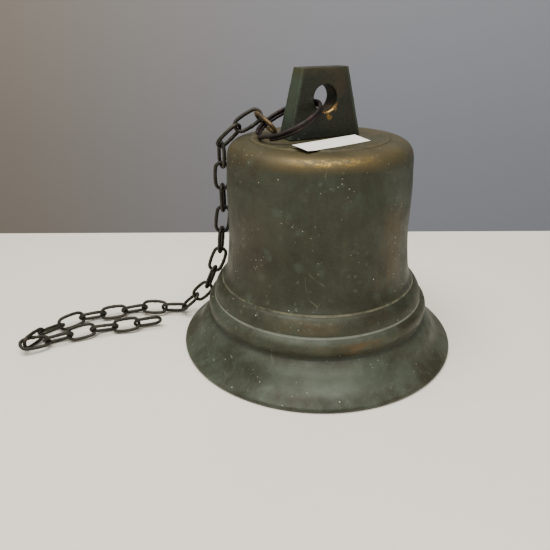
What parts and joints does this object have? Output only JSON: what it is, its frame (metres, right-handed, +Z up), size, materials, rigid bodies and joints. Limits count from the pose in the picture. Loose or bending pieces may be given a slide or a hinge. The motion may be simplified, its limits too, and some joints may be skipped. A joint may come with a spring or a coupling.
{
  "type": "ship bell",
  "caption": "Bronze ship bell with two raised bands, a tapered crown lug, a swinging clapper, a split ring and a length of link chain.",
  "frame": {"origin": "centre of the bell's mouth, on the plane it stands on", "axes": "+Z up along the bell's axis; the hole through the crown lug runs along Y; the chain lies towards -X and +Y"},
  "size_m": [0.3169, 0.203, 0.195],
  "materials": {
    "bell_bronze": "aged bronze, dull olive patina with grey-green spots and worn brown patches",
    "lug_bronze": "aged bronze, dark green, rubbed to brass at the hole",
    "bolt_steel": "dull oxidised steel",
    "clapper_iron": "dark forged iron with light rust",
    "pin_steel": "dull steel",
    "ring_steel": "dark rusted spring wire",
    "chain_steel": "dark tarnished wire links",
    "label_paper": "plain white paper slip, blank"
  },
  "bodies": {
    "bell": {"bell_shell": "bell_bronze", "crown_lug": "lug_bronze", "clapper_eyebolt": "bolt_steel", "eyebolt_washer": "bolt_steel", "eyebolt_nut": "bolt_steel", "lot_label": "label_paper"},
    "clapper": {"clapper_fork": "clapper_iron", "clapper_pin": "pin_steel", "pin_cotter": "pin_steel", "clapper_ball": "clapper_iron", "ball_nut": "bolt_steel"},
    "ring": {"split_ring": "ring_steel"},
    "link_01": {"chain_link_01": "chain_steel"},
    "link_02": {"chain_link_02": "chain_steel"},
    "link_03": {"chain_link_03": "chain_steel"},
    "link_04": {"chain_link_04": "chain_steel"},
    "link_05": {"chain_link_05": "chain_steel"},
    "link_06": {"chain_link_06": "chain_steel"},
    "link_07": {"chain_link_07": "chain_steel"},
    "link_08": {"chain_link_08": "chain_steel"},
    "link_09": {"chain_link_09": "chain_steel"},
    "link_10": {"chain_link_10": "chain_steel"},
    "link_11": {"chain_link_11": "chain_steel"},
    "link_12": {"chain_link_12": "chain_steel"},
    "link_13": {"chain_link_13": "chain_steel"},
    "link_14": {"chain_link_14": "chain_steel"},
    "link_15": {"chain_link_15": "chain_steel"},
    "link_16": {"chain_link_16": "chain_steel"},
    "link_17": {"chain_link_17": "chain_steel"},
    "link_18": {"chain_link_18": "chain_steel"},
    "link_19": {"chain_link_19": "chain_steel"},
    "link_20": {"chain_link_20": "chain_steel"},
    "link_21": {"chain_link_21": "chain_steel"},
    "link_22": {"chain_link_22": "chain_steel"},
    "link_23": {"chain_link_23": "chain_steel"},
    "link_24": {"chain_link_24": "chain_steel"},
    "link_25": {"chain_link_25": "chain_steel"},
    "link_26": {"chain_link_26": "chain_steel"}
  },
  "joints": [
    {"name": "clapper_swing", "type": "hinge", "parent": "bell", "child": "clapper", "pos_m": [0, 0, 0.118], "axis": [0, 1, 0], "range_deg": [-33, 33]},
    {"name": "ring_swing", "type": "hinge", "parent": "bell", "child": "ring", "pos_m": [0, 0, 0.1765], "axis": [0, -1, 0], "range_deg": [-200, 0]},
    {"name": "link_01_swing", "type": "hinge", "parent": "ring", "child": "link_01", "pos_m": [-0.03016, 0.02032, 0.15971], "axis": [-0.8339, -0.3827, -0.3977], "range_deg": [-3, 0]},
    {"name": "link_02_swing", "type": "hinge", "parent": "link_01", "child": "link_02", "pos_m": [-0.03376, 0.02924, 0.16379], "axis": [0.4697, 0.5551, -0.6865], "range_deg": [0, 75]},
    {"name": "link_03_swing", "type": "hinge", "parent": "link_02", "child": "link_03", "pos_m": [-0.0479, 0.033, 0.15525], "axis": [0.2907, -0.5958, -0.7487], "range_deg": [-75, 0]},
    {"name": "link_04_swing", "type": "hinge", "parent": "link_03", "child": "link_04", "pos_m": [-0.06047, 0.03486, 0.14406], "axis": [0.564, 0.6263, -0.5382], "range_deg": [0, 20]},
    {"name": "link_05_swing", "type": "hinge", "parent": "link_04", "child": "link_05", "pos_m": [-0.05644, 0.04273, 0.12795], "axis": [0.0718, -0.9103, -0.4077], "range_deg": [-75, 0]},
    {"name": "link_06_swing", "type": "hinge", "parent": "link_05", "child": "link_06", "pos_m": [-0.05668, 0.04365, 0.11089], "axis": [0.9634, -0.2667, -0.0282], "range_deg": [0, 75]},
    {"name": "link_07_swing", "type": "hinge", "parent": "link_06", "child": "link_07", "pos_m": [-0.05625, 0.04459, 0.09402], "axis": [-0.4901, -0.8695, -0.0612], "range_deg": [-75, 0]},
    {"name": "link_08_swing", "type": "hinge", "parent": "link_07", "child": "link_08", "pos_m": [-0.05871, 0.04524, 0.07731], "axis": [-0.9299, 0.3361, 0.1491], "range_deg": [-75, 0]},
    {"name": "link_09_swing", "type": "hinge", "parent": "link_08", "child": "link_09", "pos_m": [-0.0601, 0.04629, 0.0605], "axis": [0.5638, 0.8259, 0], "range_deg": [0, 75]},
    {"name": "link_10_swing", "type": "hinge", "parent": "link_09", "child": "link_10", "pos_m": [-0.06615, 0.04853, 0.04487], "axis": [0.8667, -0.322, -0.381], "range_deg": [-25, 75]},
    {"name": "link_11_swing", "type": "hinge", "parent": "link_10", "child": "link_11", "pos_m": [-0.07056, 0.05326, 0.02926], "axis": [0.6727, 0.7391, 0.0333], "range_deg": [-10, 75]},
    {"name": "link_12_swing", "type": "hinge", "parent": "link_11", "child": "link_12", "pos_m": [-0.07952, 0.06131, 0.01739], "axis": [-0.5226, 0.47, 0.7113], "range_deg": [-75, 75]},
    {"name": "link_13_swing", "type": "hinge", "parent": "link_12", "child": "link_13", "pos_m": [-0.08876, 0.06983, 0.0061], "axis": [-0.4674, -0.8469, -0.2536], "range_deg": [-75, 75]},
    {"name": "link_14_swing", "type": "hinge", "parent": "link_13", "child": "link_14", "pos_m": [-0.10465, 0.07563, 0.00661], "axis": [0.149, 0.4779, -0.8657], "range_deg": [-70, 75]},
    {"name": "link_15_swing", "type": "hinge", "parent": "link_14", "child": "link_15", "pos_m": [-0.11968, 0.08338, 0.00694], "axis": [0.3022, 0.5675, 0.7659], "range_deg": [-75, 75]},
    {"name": "link_16_swing", "type": "hinge", "parent": "link_15", "child": "link_16", "pos_m": [-0.13621, 0.08685, 0.00495], "axis": [-0.2285, -0.6053, 0.7625], "range_deg": [-75, 75]},
    {"name": "link_17_swing", "type": "hinge", "parent": "link_16", "child": "link_17", "pos_m": [-0.15318, 0.08728, 0.00559], "axis": [-0.0562, -0.7641, -0.6427], "range_deg": [-75, 75]},
    {"name": "link_18_swing", "type": "hinge", "parent": "link_17", "child": "link_18", "pos_m": [-0.17, 0.08584, 0.00682], "axis": [-0.0899, 0.6384, -0.7645], "range_deg": [-75, 75]},
    {"name": "link_19_swing", "type": "hinge", "parent": "link_18", "child": "link_19", "pos_m": [-0.18624, 0.08132, 0.00562], "axis": [-0.2093, 0.5372, 0.8171], "range_deg": [-75, 60]},
    {"name": "link_20_swing", "type": "hinge", "parent": "link_19", "child": "link_20", "pos_m": [-0.20053, 0.07239, 0.00693], "axis": [0.5284, -0.8088, 0.258], "range_deg": [-60, 75]},
    {"name": "link_21_swing", "type": "hinge", "parent": "link_20", "child": "link_21", "pos_m": [-0.21109, 0.05901, 0.0076], "axis": [-0.0953, 0.0235, -0.9952], "range_deg": [-5, 75]},
    {"name": "link_22_swing", "type": "hinge", "parent": "link_21", "child": "link_22", "pos_m": [-0.19451, 0.06208, 0.00549], "axis": [-0.1115, 0.901, 0.4193], "range_deg": [-75, 75]},
    {"name": "link_23_swing", "type": "hinge", "parent": "link_22", "child": "link_23", "pos_m": [-0.17764, 0.06267, 0.00625], "axis": [0.011, 0.6436, -0.7653], "range_deg": [-75, 75]},
    {"name": "link_24_swing", "type": "hinge", "parent": "link_23", "child": "link_24", "pos_m": [-0.16075, 0.06299, 0.00672], "axis": [0.0373, -0.5729, -0.8188], "range_deg": [-75, 75]},
    {"name": "link_25_swing", "type": "hinge", "parent": "link_24", "child": "link_25", "pos_m": [-0.14391, 0.06235, 0.00511], "axis": [0.0398, -0.6442, 0.7638], "range_deg": [-75, 75]},
    {"name": "link_26_swing", "type": "hinge", "parent": "link_25", "child": "link_26", "pos_m": [-0.12758, 0.05785, 0.00654], "axis": [-0.1214, -0.6979, -0.7058], "range_deg": [-75, 75]}
  ]
}
